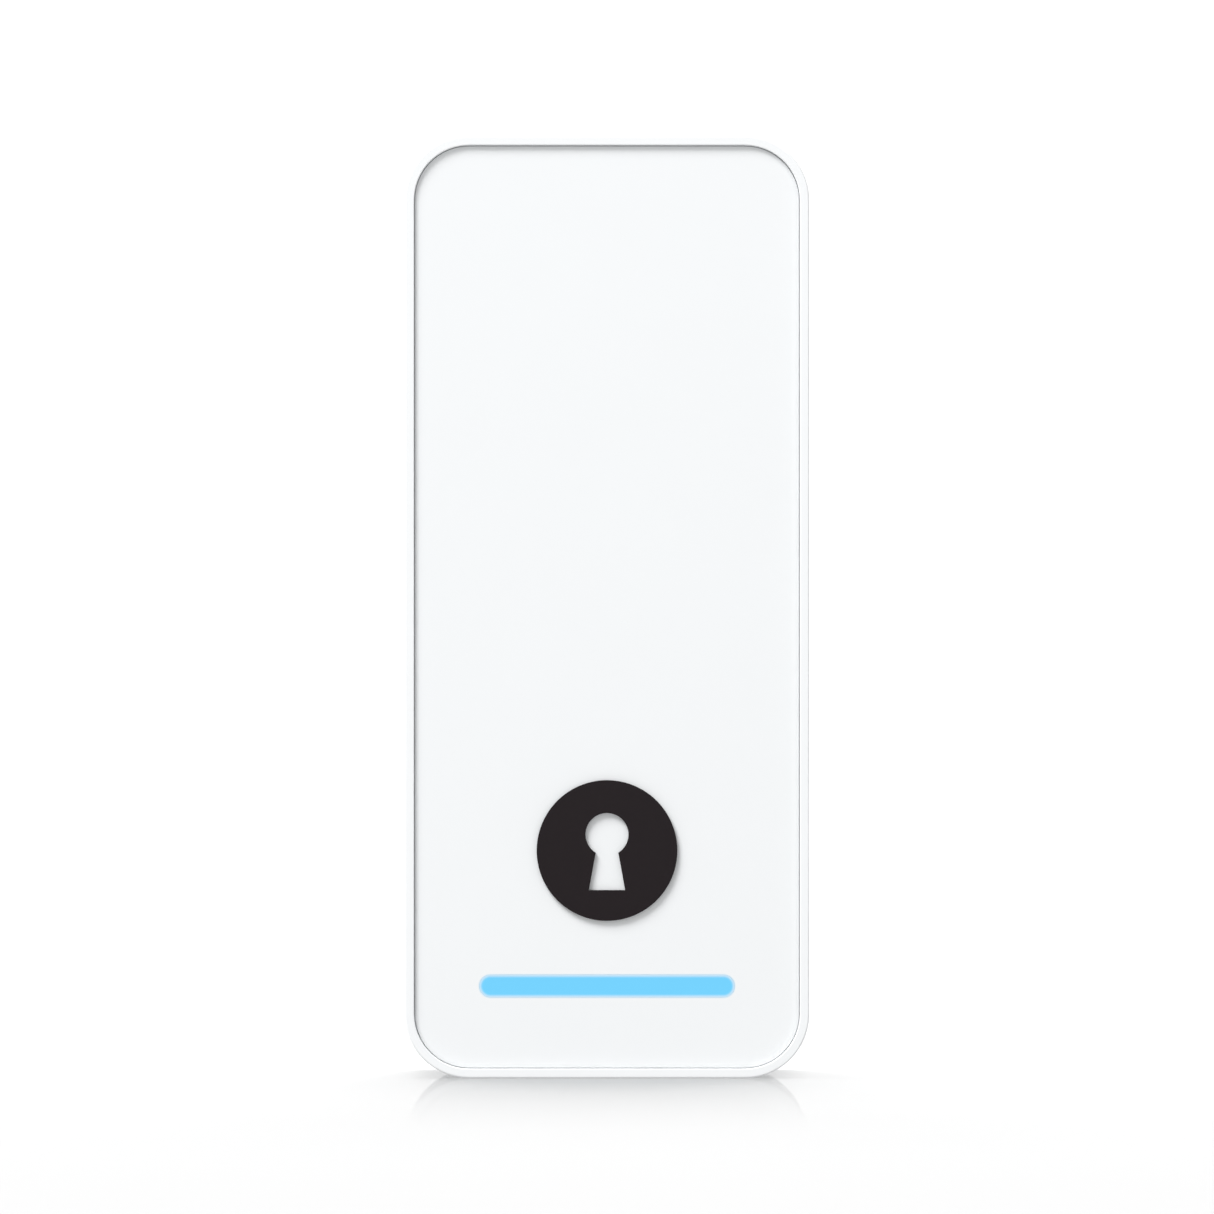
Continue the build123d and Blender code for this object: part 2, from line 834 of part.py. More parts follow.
def rear_cover():
    cover = slab(cover_outline(cover_gap), cover_rear, cover_front)
    half = bay_width / 2
    bay_deep = board_rear - bay_to_board
    outer = half + bay_wall
    cover += block(-outer, outer, cover_rear, bay_deep, bay_low - bay_skirt, bay_high + bay_wall)
    cover -= block(-half, half, cover_rear, bay_front, bay_low, bay_high)
    door = Plane.XY.offset(bay_high) * plug_sketch(2 * seal_margin)
    cover -= extrude(door, bay_wall)

    boss_half = lock_bore_radius + lock_boss_wall
    boss_front = lock_ahead + lock_bore_radius + lock_boss_wall
    boss_foot = cover_low + port_seal_height
    cover += block(-boss_half, boss_half, lock_boss_rear, boss_front, boss_foot, bay_low)
    cover -= upright(lock_bore_radius, boss_foot, lock_seat, 0, lock_ahead)
    cover -= upright(thread_radius + shank_clearance, lock_seat, bay_low, 0, lock_ahead)

    recess_front = plate_thickness + wall_screw_height + wall_screw_clearance
    cover -= rod(wall_screw_radius, cover_rear, recess_front, 0, gang_heights[0])

    head_seat = cover_rear + fastener_head_height + head_sink
    for x, z in boss_places:
        cover -= rod(fastener_head_radius + head_play, cover_rear, head_seat, x, z)
        cover -= rod(fastener_radius + shank_play, cover_rear, cover_front, x, z)
    for x, z, radius in button_places():
        cover += rod(radius + button_clearance + guide_wall, cover_front, cover_front + guide_length, x, z)
        cover -= rod(radius + button_clearance, cover_rear, cover_front + guide_length, x, z)

    cover -= slab(label_outline(0.15), cover_rear, cover_rear + label_recess)
    x, z = vent_place()
    cover -= rod(vent_radius + 0.1, cover_rear, cover_rear + vent_recess, x, z)
    for dx, dz in ((0, 1.1), (-1.0, -0.6), (1.0, -0.6)):
        cover -= rod(vent_hole_radius, cover_rear, cover_front, x + dx, z + dz)
    return cover


def label_outline(grow):
    middle = jack_low + label_above_jack + label_height / 2
    return Pos(0, middle) * RectangleRounded(label_width + 2 * grow, label_height + 2 * grow, 1.5 + grow)


def vent_place():
    return -11.0, pin_height - tamper_below_pin


def button_places():
    """The reset button and the tamper plunger: x, z and radius."""
    return (
        (reset_x, jack_low - reset_below_jack, reset_radius),
        (tamper_x, pin_height - tamper_below_pin, tamper_radius),
    )


def rear_gasket():
    ring = cover_outline(cover_gap) - cover_outline(cover_gap + gasket_width)
    return slab(ring, cover_front, shelf_rear)


def rear_cover_screws():
    return screws(boss_places, cover_rear, fastener_length - 1.0)


def rating_label():
    return slab(label_outline(0), cover_rear + label_recess - label_thickness, cover_rear + label_recess)


def vent_membrane():
    far = cover_rear + vent_recess
    return rod(vent_radius, far - vent_thickness, far, *vent_place())


# Buttons


def stem(place, tip, foot, flange_gap):
    """A round button with a flange that keeps it behind the cover's guide."""
    x, z, radius = place
    button = rod(radius, tip, foot, x, z)
    button = fillet(rear_edges(button), 0.3)
    flange = cover_front + guide_length + flange_gap
    return button + rod(radius + flange_extra, flange, flange + flange_thickness, x, z)


def reset_button():
    foot = board_rear - switch_height - reset_travel - press_gap
    return stem(button_places()[0], cover_rear + reset_recess, foot, press_gap)


def reset_switch():
    return switch_body(*button_places()[0][:2])


def tamper_plunger():
    """Held in by the wall plate, and free to come out as the reader swings away from it."""
    foot = board_rear - switch_height - press_gap
    return stem(button_places()[1], plate_thickness + tamper_rest_gap, foot, tamper_travel + press_gap)


def tamper_switch():
    return switch_body(*button_places()[1][:2])


def switch_body(x, z):
    half = switch_side / 2
    case_height = switch_height - stub_height
    body = on_board(Pos(x, z) * RectangleRounded(switch_side, switch_side, 0.4), case_height)
    body = chamfer(rear_edges(body), 0.25)
    body += on_board(Pos(x, z) * Circle(stub_radius), stub_height, case_height)
    for side in (-1, 1):
        for lead in (-1, 1):
            low, high = sorted((x + side * half, x + side * (half + switch_lead_reach)))
            lead_low = z + lead * switch_lead_spread - switch_lead_width / 2
            lead_high = lead_low + switch_lead_width
            body += block(low, high, board_rear - lead_sheet, board_rear, lead_low, lead_high)
    return body


# Lock screw


def lock_screw():
    head = upright(head_radius, head_low, head_high, 0, lock_ahead)
    head = fillet(head.edges().group_by(Axis.Z)[0], 0.5)
    star = Circle(socket_radius * 0.72)
    for point in range(6):
        star += Rot(0, 0, 60 * point) * Pos(socket_radius * 0.72, 0) * Circle(socket_radius * 0.28)
    star -= Circle(socket_pin_radius)
    recess = Pos(0, -lock_ahead, head_low) * extrude(star, socket_depth)
    head -= recess
    shank = upright(thread_radius, head_high, bay_low, 0, lock_ahead)
    shank = chamfer(shank.edges().group_by(Axis.Z)[-1], 0.3)
    return head + shank


def screw_washer():
    washer = upright(head_radius + 0.1, washer_low, washer_high, 0, lock_ahead)
    return washer - upright(thread_radius + thread_clearance, washer_low, washer_high, 0, lock_ahead)


def screw_retainer():
    ring = upright(lock_hole_radius, retainer_low, retainer_high, 0, lock_ahead)
    return ring - upright(retainer_bore, retainer_low, retainer_high, 0, lock_ahead)


def screw_port_seal():
    outer = lock_bore_radius + port_seal_width
    seal = upright(outer, cover_low, cover_low + port_seal_height, 0, lock_ahead)
    return seal - upright(lock_bore_radius, cover_low, cover_low + port_seal_height, 0, lock_ahead)


pieces = (
    wall_plate,
    lock_nut,
    housing,
    hanger_pin,
    front_panel,
    panel_tape,
    keyhole_badge,
    status_lens,
    inner_frame,
    ferrite_sheet,
    antenna_board,
    antenna_coil,
    antenna_connector,
    main_board,
    processor,
    reader_chip,
    network_chip,
    memory_chip,
    power_chip,
    chip_leads,
    crystal,
    radio_board,
    radio_can,
    network_transformer,
    transformer_bobbin,
    transformer_winding,
    transformer_core,
    capacitor_cans,
    capacitor_bases,
    power_inductor,
    small_capacitors,
    small_resistors,
    sounder,
    status_leds,
    board_screws,
    jack_shell,
    jack_body,
    jack_contacts,
    port_seal,
    rear_cover,
    rear_gasket,
    rear_cover_screws,
    rating_label,
    vent_membrane,
    reset_button,
    reset_switch,
    tamper_plunger,
    tamper_switch,
    lock_screw,
    screw_washer,
    screw_retainer,
    screw_port_seal,
)

os.makedirs("parts", exist_ok=True)
for piece in pieces:
    export_step(piece(), f"parts/{piece.__name__}.step")
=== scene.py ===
import bpy
import bmesh
import json
import numpy as np
from math import cos, pi, radians, sin
from mathutils import Matrix, Vector


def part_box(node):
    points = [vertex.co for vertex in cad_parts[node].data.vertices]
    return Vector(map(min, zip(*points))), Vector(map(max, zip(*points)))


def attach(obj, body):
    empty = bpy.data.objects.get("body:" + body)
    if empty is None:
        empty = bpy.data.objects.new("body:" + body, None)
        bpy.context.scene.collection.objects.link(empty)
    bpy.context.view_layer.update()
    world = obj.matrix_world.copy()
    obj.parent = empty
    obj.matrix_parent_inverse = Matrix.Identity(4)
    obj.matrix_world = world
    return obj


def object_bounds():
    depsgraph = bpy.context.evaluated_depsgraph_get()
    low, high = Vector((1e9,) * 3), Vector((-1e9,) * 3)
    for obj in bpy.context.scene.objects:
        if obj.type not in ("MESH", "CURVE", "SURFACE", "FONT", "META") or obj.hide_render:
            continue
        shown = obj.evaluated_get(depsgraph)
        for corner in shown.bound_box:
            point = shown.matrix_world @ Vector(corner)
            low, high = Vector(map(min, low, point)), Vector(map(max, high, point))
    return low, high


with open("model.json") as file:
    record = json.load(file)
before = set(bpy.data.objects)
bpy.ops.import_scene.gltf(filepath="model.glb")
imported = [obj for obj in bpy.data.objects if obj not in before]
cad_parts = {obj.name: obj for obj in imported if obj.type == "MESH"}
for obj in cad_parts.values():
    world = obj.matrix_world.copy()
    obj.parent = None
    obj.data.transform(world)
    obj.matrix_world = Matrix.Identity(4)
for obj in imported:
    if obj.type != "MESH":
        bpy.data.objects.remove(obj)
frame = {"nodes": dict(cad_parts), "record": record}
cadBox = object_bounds()
nodes = frame["nodes"]
mm = 0.001
lowest, highest = Vector(cadBox[0]), Vector(cadBox[1])
print("frame loaded:", len(nodes), "nodes")


# One value in a shader tree. Adding, multiplying and so on makes Math nodes.
class Wire:
    def __init__(self, finish, socket):
        self.finish = finish
        self.socket = socket

    def maths(self, operation, *values):
        return self.finish.node("Math", {"operation": operation}, dict(enumerate(values)))

    def __add__(self, other):
        return self.maths("ADD", self, other)

    __radd__ = __add__

    def __sub__(self, other):
        return self.maths("SUBTRACT", self, other)

    def __rsub__(self, other):
        return self.maths("SUBTRACT", other, self)

    def __mul__(self, other):
        return self.maths("MULTIPLY", self, other)

    __rmul__ = __mul__

    def __abs__(self):
        return self.maths("ABSOLUTE", self)

    def atLeast(self, other):
        return self.maths("MAXIMUM", self, other)

    def atMost(self, other):
        return self.maths("MINIMUM", self, other)

    def root(self):
        return self.maths("SQRT", self)

    def wave(self):
        return self.maths("SINE", self)

    # 0 where the value is at low, 1 where it is at high, and smooth between them
    def between(self, low, high):
        settings = {"interpolation_type": "SMOOTHSTEP"}
        return self.finish.node("MapRange", settings, {"Value": self, "From Min": low, "From Max": high})


# One material and its tree. node() makes every node that isn't plain maths.
class Finish:
    def __init__(self, name, tree=None):
        if tree is None:
            self.material = bpy.data.materials.new(name)
            self.material.use_nodes = True
            tree = self.material.node_tree
            self.shader = tree.nodes["Principled BSDF"]
        self.tree = tree

    def feed(self, socket, value):
        if isinstance(value, Wire):
            self.tree.links.new(value.socket, socket)
        elif isinstance(value, (tuple, list)) and len(value) == 3 and socket.type == "RGBA":
            socket.default_value = (*value, 1.0)
        else:
            socket.default_value = value

    def node(self, kind, settings=None, inputs=None, output=0):
        made = self.tree.nodes.new("ShaderNode" + kind)
        for key, value in (settings or {}).items():
            setattr(made, key, value)
        for key, value in (inputs or {}).items():
            self.feed(made.inputs[key], value)
        return Wire(self, made.outputs[output])

    # where a point is in the object, in metres
    def place(self):
        return self.node("TexCoord", output="Object")

    def axes(self):
        apart = self.node("SeparateXYZ", inputs={0: self.place()}).socket.node
        return [Wire(self, output) for output in apart.outputs]

    def stretched(self, x, y, z):
        return self.node("VectorMath", {"operation": "MULTIPLY"}, {0: self.place(), 1: (x, y, z)})

    def noise(self, size, detail=2.0, vector=None):
        inputs = {"Vector": vector or self.place(), "Scale": 1 / size, "Detail": detail}
        return self.node("TexNoise", {"noise_dimensions": "3D"}, inputs)

    def blend(self, share, first, second):
        return self.node("Mix", {"data_type": "RGBA"}, {0: share, 6: first, 7: second}, 2)

    def bump(self, height, depth):
        return self.node("Bump", None, {"Strength": 1.0, "Distance": depth, "Height": height})

    def surface(self, **inputs):
        for key, value in inputs.items():
            self.feed(self.shader.inputs[shaderSockets[key]], value)


shaderSockets = {
    "colour": "Base Color",
    "glow": "Emission Color",
    "glowStrength": "Emission Strength",
    "rough": "Roughness",
    "metal": "Metallic",
    "coat": "Coat Weight",
    "specular": "Specular IOR Level",
    "normal": "Normal",
}


def shade(colour, factor):
    return tuple(channel * factor for channel in colour)


# Moulded plastic: a spark-eroded mould leaves a fine grain, and the sheen drifts a little.
def moulded(name, colour, rough=0.45, grain=0.16 * mm, depth=0.004 * mm, drift=0.015, specular=0.45):
    finish = Finish(name)
    cloudy = finish.noise(9 * mm, 3.0)
    fine = finish.noise(grain, 2.0)
    finish.surface(
        colour=finish.blend(cloudy, shade(colour, 1 - drift), colour),
        rough=rough + 0.06 * (cloudy - 0.5) + 0.05 * (fine - 0.5),
        normal=finish.bump(fine, depth),
        specular=specular,
    )
    return finish


def rubbery(name, colour):
    finish = Finish(name)
    bloom = finish.noise(2.5 * mm, 4.0)
    fine = finish.noise(0.12 * mm, 2.0)
    finish.surface(
        colour=finish.blend(bloom, colour, shade(colour, 1.8)),
        rough=0.72 + 0.16 * (bloom - 0.5),
        normal=finish.bump(fine, 0.01 * mm),
        specular=0.3,
    )
    return finish


def cast(name, colour):
    finish = Finish(name)
    skin = finish.noise(0.35 * mm, 4.0)
    flow = finish.noise(12 * mm, 3.0, finish.stretched(1.0, 1.0, 0.35))
    finish.surface(
        colour=finish.blend(flow, shade(colour, 0.86), shade(colour, 1.06)),
        rough=0.42 + 0.16 * (flow - 0.5) + 0.12 * (skin - 0.5),
        metal=0.92,
        normal=finish.bump(skin, 0.018 * mm),
    )
    return finish


def rolled(name, colour, rough=0.3, stretch=(1.0, 1.0, 0.06)):
    finish = Finish(name)
    lines = finish.noise(0.12 * mm, 3.0, finish.stretched(*stretch))
    film = finish.noise(3 * mm, 3.0)
    finish.surface(
        colour=finish.blend(film, shade(colour, 0.9), colour),
        rough=rough + 0.12 * (lines - 0.5) + 0.1 * (film - 0.5),
        metal=1.0,
        normal=finish.bump(lines, 0.004 * mm),
    )
    return finish


# The lit bar in the front panel. The panel and the lens share one finish, so the bar's edge is soft.
lightBar = {
    "length": 30.1 * mm,
    "thickness": 2.45 * mm,
    "softness": 0.34 * mm,
    "glow": (0.168, 0.645, 0.991),
    "share": 0.72,  # how much of the colour is given off, not reflected
    "dimmed": 0.95,  # what the rest reflects
}


def barDistance(finish):
    low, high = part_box("status_lens")
    x, y, z = finish.axes()
    radius = lightBar["thickness"] / 2
    past = (abs(x) - (lightBar["length"] / 2 - radius)).atLeast(0.0)
    rise = z - (low.z + high.z) / 2
    return (past * past + rise * rise).root() - radius


# 1 in the bar, 0 on the panel
def barMask(finish):
    soft = lightBar["softness"]
    return 1 - barDistance(finish).between(-soft, soft)


# The panel's look, with a painted shade along its border.
panelLook = {
    "colour": (0.905, 0.922, 0.932),
    "rough": 0.5,
    "corner": 6.4 * mm,
    "paintedEdgeShade": 0.88,  # painted shade: the colour's share at the very edge, darker where the rim round the recess would shade the panel
    "paintedShadeFrom": 0.05 * mm,
    "paintedShadeTo": 0.6 * mm,
}


# How far inside the panel's outline a point is.
def panelInset(finish):
    low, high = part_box("front_panel")
    x, y, z = finish.axes()
    corner = panelLook["corner"]
    past = abs(x) - ((high.x - low.x) / 2 - corner)
    rise = abs(z - (low.z + high.z) / 2) - ((high.z - low.z) / 2 - corner)
    outer = (past.atLeast(0.0) * past.atLeast(0.0) + rise.atLeast(0.0) * rise.atLeast(0.0)).root()
    return corner - outer - past.maths("MAXIMUM", past, rise).atMost(0.0)


def litPlastic(name):
    finish = Finish(name)
    mask = barMask(finish)
    fine = finish.noise(0.13 * mm, 2.0)
    cloudy = finish.noise(9 * mm, 3.0)
    glow = shade(lightBar["glow"], lightBar["share"])
    reflected = shade(lightBar["glow"], lightBar["dimmed"] * (1 - lightBar["share"]))
    white = finish.blend(cloudy, shade(panelLook["colour"], 0.99), panelLook["colour"])
    # Painted shade: the panel's colour darkens towards its outline, standing in for the shade of the rim in
    # the recess.
    outOfPaintedShade = panelInset(finish).between(panelLook["paintedShadeFrom"], panelLook["paintedShadeTo"])
    white = finish.blend(outOfPaintedShade, shade(panelLook["colour"], panelLook["paintedEdgeShade"]), white)
    finish.surface(
        colour=finish.blend(mask, white, reflected),
        glow=finish.blend(mask, (0.0, 0.0, 0.0), glow),
        glowStrength=1.0,
        rough=panelLook["rough"] + 0.05 * (cloudy - 0.5),
        normal=finish.bump(fine, 0.003 * mm),
        specular=0.3,
    )
    return finish


# Tracks run upright in some cells and level in others, and stop where the board is bare.
tracks = {
    "pitch": 0.42 * mm,
    "cell": 4.2 * mm,
    "bare": 0.3,
    "via": 2.1 * mm,
    "viaRadius": 0.1,  # shares of the spacing of the vias
    "viaEdge": 0.12,
    "viaColour": (0.72, 0.55, 0.26),
}


def solderMask(name, colour, track):
    finish = Finish(name)
    x, y, z = finish.axes()
    flat = finish.stretched(1.0, 0.0, 1.0)
    blocks = {"feature": "F1", "distance": "CHEBYCHEV"}
    pick = finish.node("TexVoronoi", blocks, {"Vector": flat, "Scale": 1 / tracks["cell"]}, 1)
    channels = finish.node("SeparateColor", None, {0: pick}).socket.node.outputs
    upright = Wire(finish, channels[0]).between(0.49, 0.51)
    used = Wire(finish, channels[1]).between(tracks["bare"], tracks["bare"] + 0.02)
    wave = 2 * pi / tracks["pitch"]
    columns, rows = (x * wave).wave().between(0.2, 0.5), (z * wave).wave().between(0.2, 0.5)
    copper = (columns * upright + rows * (1 - upright)) * used
    dots = finish.node("TexVoronoi", {"feature": "F1"}, {"Vector": flat, "Scale": 1 / tracks["via"]})
    via = 1 - dots.between(tracks["viaRadius"], tracks["viaEdge"])
    finish.surface(
        colour=finish.blend(via, finish.blend(copper, colour, track), tracks["viaColour"]),
        rough=0.28 + 0.1 * copper,
        metal=via * 0.9,
        normal=finish.bump(copper, 0.02 * mm),
        specular=0.5,
    )
    return finish


def epoxy(name, colour):
    finish = Finish(name)
    fine = finish.noise(0.09 * mm, 3.0)
    finish.surface(
        colour=finish.blend(fine, colour, shade(colour, 1.7)),
        rough=0.55 + 0.12 * (fine - 0.5),
        normal=finish.bump(fine, 0.008 * mm),
        specular=0.4,
    )
    return finish


# Tape wound round a transformer: the edge of each turn shows as a fine step.
def woundTape(name, colour, width=0.45 * mm):
    finish = Finish(name)
    x, y, z = finish.axes()
    turns = (y * (2 * pi / width)).wave()
    wrinkle = finish.noise(0.8 * mm, 3.0)
    finish.surface(
        colour=finish.blend(wrinkle, shade(colour, 0.8), colour),
        rough=0.3 + 0.1 * (wrinkle - 0.5),
        normal=finish.bump(turns * 0.5 + wrinkle, 0.03 * mm),
        coat=0.3,
    )
    return finish


def ceramic(name, colour, rough=0.5):
    finish = Finish(name)
    speck = finish.noise(0.2 * mm, 4.0)
    finish.surface(
        colour=finish.blend(speck, shade(colour, 0.75), shade(colour, 1.15)),
        rough=rough + 0.15 * (speck - 0.5),
        normal=finish.bump(speck, 0.01 * mm),
        specular=0.35,
    )
    return finish


# The blank label: satin film with a thin printed border, no lettering.
labelLook = {"inset": 1.1 * mm, "line": 0.18 * mm, "ink": (0.25, 0.26, 0.28)}


def labelFilm(name, colour):
    finish = Finish(name)
    low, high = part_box("rating_label")
    x, y, z = finish.axes()
    fromSide = (high.x - low.x) / 2 - abs(x - (low.x + high.x) / 2)
    fromEnd = (high.z - low.z) / 2 - abs(z - (low.z + high.z) / 2)
    edge = fromSide.atMost(fromEnd)
    near = abs(edge - labelLook["inset"])
    line = 1 - near.between(labelLook["line"] / 2, labelLook["line"])
    film = finish.noise(4 * mm, 2.0)
    finish.surface(
        colour=finish.blend(line, colour, labelLook["ink"]),
        rough=0.32 + 0.08 * (film - 0.5) + 0.15 * line,
        normal=finish.bump(film, 0.01 * mm),
        specular=0.5,
    )
    return finish


def membraneFibre(name, colour):
    finish = Finish(name)
    fibre = finish.noise(0.1 * mm, 5.0, finish.stretched(1.0, 1.0, 0.2))
    finish.surface(
        colour=finish.blend(fibre, shade(colour, 0.82), colour),
        rough=0.85 + 0.1 * (fibre - 0.5),
        normal=finish.bump(fibre, 0.03 * mm),
        specular=0.2,
    )
    return finish


finishes = {
    "casing": moulded("casingPlastic", (0.93, 0.945, 0.955), rough=0.48),
    "panel": litPlastic("panelPlastic"),
    "light": litPlastic("lensPlastic"),
    "badge": moulded("badgePlastic", (0.0135, 0.0095, 0.011), rough=0.55, drift=0.06, specular=0.15),
    "plate": cast("castAluminium", (0.62, 0.63, 0.64)),
    "steel": rolled("stainlessSteel", (0.62, 0.61, 0.60)),
    "zinc_steel": rolled("zincPlatedSteel", (0.66, 0.67, 0.66), rough=0.36),
    "nut": rolled("turnedBrass", (0.78, 0.58, 0.26), rough=0.28),
    "cover": moulded("coverPlastic", (0.105, 0.11, 0.116), rough=0.55, depth=0.01 * mm, drift=0.08),
    "frame": moulded("framePlastic", (0.03, 0.03, 0.032), rough=0.5, drift=0.1),
    "rubber": rubbery("sealRubber", (0.022, 0.022, 0.023)),
    "tape": rubbery("foamTape", (0.09, 0.09, 0.09)),
    "ferrite": ceramic("ferrite", (0.06, 0.06, 0.064), rough=0.6),
    "board": solderMask("solderMask", (0.010, 0.105, 0.048), (0.02, 0.19, 0.085)),
    "copper": rolled("copperTrack", (0.83, 0.43, 0.26), rough=0.32),
    "chip": epoxy("chipEpoxy", (0.018, 0.018, 0.02)),
    "tin": rolled("tinnedMetal", (0.74, 0.74, 0.72), rough=0.3),
    "can": rolled("drawnAluminium", (0.80, 0.80, 0.79), rough=0.22),
    "winding": woundTape("windingTape", (0.75, 0.50, 0.06)),
    "ceramic": ceramic("capacitorCeramic", (0.50, 0.34, 0.19)),
    "connector": moulded("connectorNylon", (0.78, 0.75, 0.66), rough=0.4),
    "jack_plastic": moulded("jackPlastic", (0.03, 0.03, 0.032), rough=0.4, drift=0.1),
    "gold": rolled("goldPlate", (0.90, 0.66, 0.24), rough=0.22),
    "label": labelFilm("labelFilm", (0.80, 0.81, 0.82)),
    "membrane": membraneFibre("membraneFibre", (0.86, 0.86, 0.84)),
    "button": moulded("buttonPlastic", (0.03, 0.16, 0.42), rough=0.4),
    "plunger": moulded("plungerAcetal", (0.80, 0.80, 0.77), rough=0.35),
}
for subpart in frame["record"]["subparts"]:
    node = nodes[subpart["node"]]
    node.data.materials.clear()
    node.data.materials.append(finishes[subpart["material_slot"]].material)
print("materials set:", len(finishes))


# The box of each separate solid in a node.
def solidBoxes(name):
    mesh = bmesh.new()
    mesh.from_mesh(nodes[name].data)
    bmesh.ops.remove_doubles(mesh, verts=mesh.verts[:], dist=0.001 * mm)
    left = set(mesh.verts)
    boxes = []
    while left:
        waiting = [left.pop()]
        points = []
        while waiting:
            vertex = waiting.pop()
            points.append(vertex.co[:])
            for edge in vertex.link_edges:
                other = edge.other_vert(vertex)
                if other in left:
                    left.remove(other)
                    waiting.append(other)
        boxes.append((Vector(np.min(points, axis=0)), Vector(np.max(points, axis=0))))
    mesh.free()
    # A set of vertices has no fixed order, so the boxes are put in one.
    return sorted(boxes, key=lambda box: box[0][:])


def addPiece(name, mesh, slot, body="reader"):
    data = bpy.data.meshes.new(name)
    mesh.to_mesh(data)
    mesh.free()
    piece = bpy.data.objects.new(name, data)
    bpy.context.scene.collection.objects.link(piece)
    data.materials.append(finishes[slot].material)
    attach(piece, body)


# The tinned ends of the chip capacitors and resistors.
chipEnds = {"share": 0.22, "skin": 0.02 * mm, "bevel": 0.05 * mm}


def makeChipEnds(name, node):
    mesh = bmesh.new()
    skin = Vector((chipEnds["skin"],) * 3)
    for low, high in solidBoxes(node):
        length = (high.z - low.z) * chipEnds["share"]
        for start in (low.z, high.z - length):
            bottom = Vector((low.x, low.y, start)) - skin
            top = Vector((high.x, high.y - chipEnds["skin"], start + length)) + skin
            place = Matrix.Translation((bottom + top) / 2) @ Matrix.Diagonal((*(top - bottom), 1))
            bmesh.ops.create_cube(mesh, size=1, matrix=place)
    bmesh.ops.bevel(mesh, geom=mesh.edges[:], offset=chipEnds["bevel"], segments=2, affect="EDGES")
    addPiece(name, mesh, "tin")


# The domed resin in each light's window.
ledDome = {"radius": 0.5 * mm, "rise": 0.13 * mm, "sink": 1.1, "steps": 24}


def makeLedDomes():
    mesh = bmesh.new()
    for low, high in solidBoxes("status_leds"):
        front = low.y + ledDome["rise"] * ledDome["sink"]
        centre = Vector(((low.x + high.x) / 2, front, (low.z + high.z) / 2))
        size = (ledDome["radius"], ledDome["rise"], ledDome["radius"], 1)
        place = Matrix.Translation(centre) @ Matrix.Diagonal(size)
        bmesh.ops.create_uvsphere(
            mesh, u_segments=ledDome["steps"], v_segments=ledDome["steps"] // 2, radius=1, matrix=place
        )
    for face in mesh.faces:
        face.smooth = True
    addPiece("led_domes", mesh, "light")


# The thread, as a fine helical ridge round the lock screw's plain shank.
lockThread = {
    "pitch": 0.5 * mm,
    "root": 1.48 * mm,
    "crest": 1.545 * mm,
    "width": 0.3 * mm,
    "fromHead": 2.1 * mm,
    "fromTip": 0.35 * mm,
    "steps": 36,
    "runOut": 12,  # steps over which each end fades into the shank
}


def makeLockThread():
    low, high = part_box("lock_screw")
    centre = (low + high) / 2
    start = low.z + lockThread["fromHead"]
    length = high.z - lockThread["fromTip"] - start
    count = int(length / lockThread["pitch"] * lockThread["steps"])
    half = lockThread["width"] / 2
    section = ((lockThread["root"], -half), (lockThread["crest"], 0), (lockThread["root"], half))
    mesh = bmesh.new()
    rings = []
    for step in range(count + 1):
        turn = 2 * pi * step / lockThread["steps"]
        rise = start + length * step / count
        fade = min(1, step / lockThread["runOut"], (count - step) / lockThread["runOut"])
        ring = []
        for radius, offset in section:
            out = lockThread["root"] + (radius - lockThread["root"]) * fade
            place = (centre.x + out * cos(turn), centre.y + out * sin(turn), rise + offset)
            ring.append(mesh.verts.new(place))
        rings.append(ring)
    for first, second in zip(rings, rings[1:]):
        for side in range(len(section)):
            other = (side + 1) % len(section)
            mesh.faces.new((first[side], first[other], second[other], second[side]))
    mesh.faces.new(reversed(rings[0]))
    mesh.faces.new(rings[-1])
    bmesh.ops.recalc_face_normals(mesh, faces=mesh.faces[:])
    addPiece("lock_screw_thread", mesh, "steel", "lock_screw")


makeLockThread()
makeChipEnds("capacitor_ends", "small_capacitors")
makeChipEnds("resistor_ends", "small_resistors")
makeLedDomes()
print("small pieces made")


studio = {
    "floorSize": 12.0,
    "floorColour": (0.73, 0.73, 0.73),
    "gloss": 0.24,
    "glossRough": 0.004,
    "glossFrom": 0.02,  # the floor's mirror image fades out in front of the object
    "glossTo": 0.13,
    "whiteFrom": 0.2,  # the floor glows away from the object, so that it meets the backdrop
    "whiteTo": 0.9,
    "whiteLevel": 0.7,
    "keyEnergy": 53.5,
    "keySize": 1.1,
    "keyPlace": (-1.0, -1.0, 1.8),
    "rearEnergy": 31.0,
    "rearSize": 2.4,
    "rearPlace": (0.0, 0.75, 0.95),
    "front": 0.6,
    "horizon": 1.4,
    "behind": 0.8,
    "bandFrom": 0.08,  # heights on the dome, where the band along the horizon ends
    "bandTo": 0.25,
    "rearFrom": -0.15,  # how far back on the dome the front's level gives way to the rear's
    "rearTo": 0.55,
    "shown": 1.15,
}


def makeFloor():
    bpy.ops.mesh.primitive_plane_add(size=studio["floorSize"], location=(0, 0, lowest.z))
    floor = bpy.context.object
    floor.name = "studio_floor"
    finish = Finish("studioFloor")
    x, y, z = finish.axes()
    away = (x * x + y * y).root().between(studio["whiteFrom"], studio["whiteTo"])
    white = finish.blend(away, (0.0, 0.0, 0.0), (1.0, 1.0, 1.0))
    finish.surface(
        colour=studio["floorColour"], rough=1.0, specular=0.0, glow=white, glowStrength=studio["whiteLevel"]
    )
    mirror = finish.node("BsdfGlossy", None, {"Color": (1.0, 1.0, 1.0), "Roughness": studio["glossRough"]})
    body = Wire(finish, finish.shader.outputs[0])
    share = (1 - abs(y).between(studio["glossFrom"], studio["glossTo"])) * studio["gloss"]
    both = finish.node("MixShader", None, {0: share, 1: body, 2: mirror})
    out = finish.tree.nodes["Material Output"]
    finish.tree.links.new(both.socket, out.inputs["Surface"])
    floor.data.materials.append(finish.material)
    # The object is lit as if it stood in open light, so the floor's shade doesn't darken its foot.
    floor.visible_diffuse = False
    floor.visible_shadow = False
    return floor


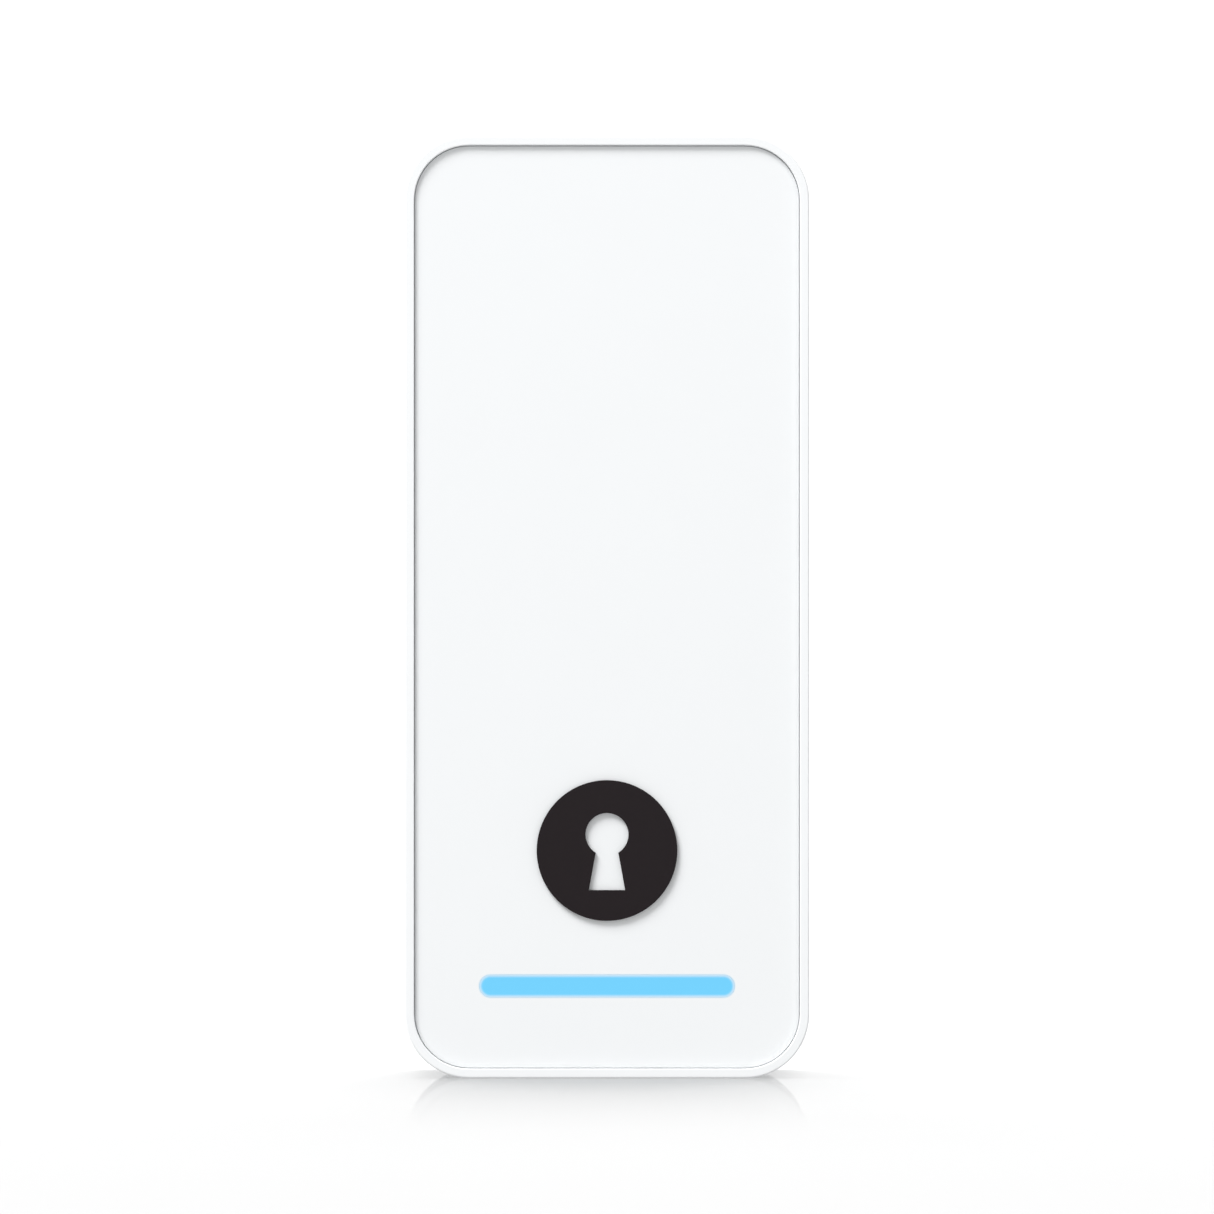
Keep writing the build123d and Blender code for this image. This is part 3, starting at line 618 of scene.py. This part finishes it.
# The room is a plain dome, with a brighter band along the horizon behind the object for the
# floor's sheen. Where the dome itself is seen, it is white.
def makeRoom():
    world = bpy.data.worlds.new("studioRoom")
    bpy.context.scene.world = world
    world.use_nodes = True
    room = Finish("room", world.node_tree)
    ray = room.node("TexCoord", output="Generated")
    apart = room.node("SeparateXYZ", inputs={0: ray}).socket.node
    depth = Wire(room, apart.outputs[1])
    height = Wire(room, apart.outputs[2])
    above = abs(height).between(studio["bandFrom"], studio["bandTo"])
    rear = studio["horizon"] + above * (studio["behind"] - studio["horizon"])
    level = studio["front"] + depth.between(studio["rearFrom"], studio["rearTo"]) * (rear - studio["front"])
    seen = room.node("LightPath", output="Is Camera Ray")
    background = world.node_tree.nodes["Background"]
    room.feed(background.inputs["Color"], (1.0, 1.0, 1.0))
    room.feed(background.inputs["Strength"], seen * studio["shown"] + (1 - seen) * level)


def aim(thing, target):
    thing.rotation_euler = (Vector(target) - thing.location).to_track_quat("-Z", "Y").to_euler()


# A round soft light that either leaves the floor out or lights nothing else.
def makeLight(name, floor, state):
    lamp = bpy.data.lights.new(name, "AREA")
    lamp.shape = "DISK"
    lamp.size = studio[name + "Size"]
    lamp.energy = studio[name + "Energy"]
    light = bpy.data.objects.new(name + "Light", lamp)
    light.location = studio[name + "Place"]
    bpy.context.scene.collection.objects.link(light)
    aim(light, (0, lowest.y, 0))
    group = bpy.data.collections.new(name + "LightFloor")
    group.objects.link(floor)
    group.collection_objects[0].light_linking.link_state = state
    light.light_linking.receiver_collection = group


shot = {"distance": 1.0, "frameWidth": 0.14405, "sensor": 36.0}  # metres, and the sensor in mm


def makeCamera():
    lens = bpy.data.cameras.new("camera")
    lens.sensor_width = shot["sensor"]
    lens.lens = shot["sensor"] * shot["distance"] / shot["frameWidth"]
    lens.clip_start = 0.01
    camera = bpy.data.objects.new("camera", lens)
    camera.location = (0, lowest.y - shot["distance"], (lowest.z + highest.z) / 2)
    camera.rotation_euler = (radians(90), 0, 0)
    bpy.context.scene.collection.objects.link(camera)
    bpy.context.scene.camera = camera


floor = makeFloor()
makeRoom()
makeLight("key", floor, "EXCLUDE")
makeLight("rear", floor, "INCLUDE")
makeCamera()
bpy.context.scene.view_settings.view_transform = "Standard"
print("studio ready")
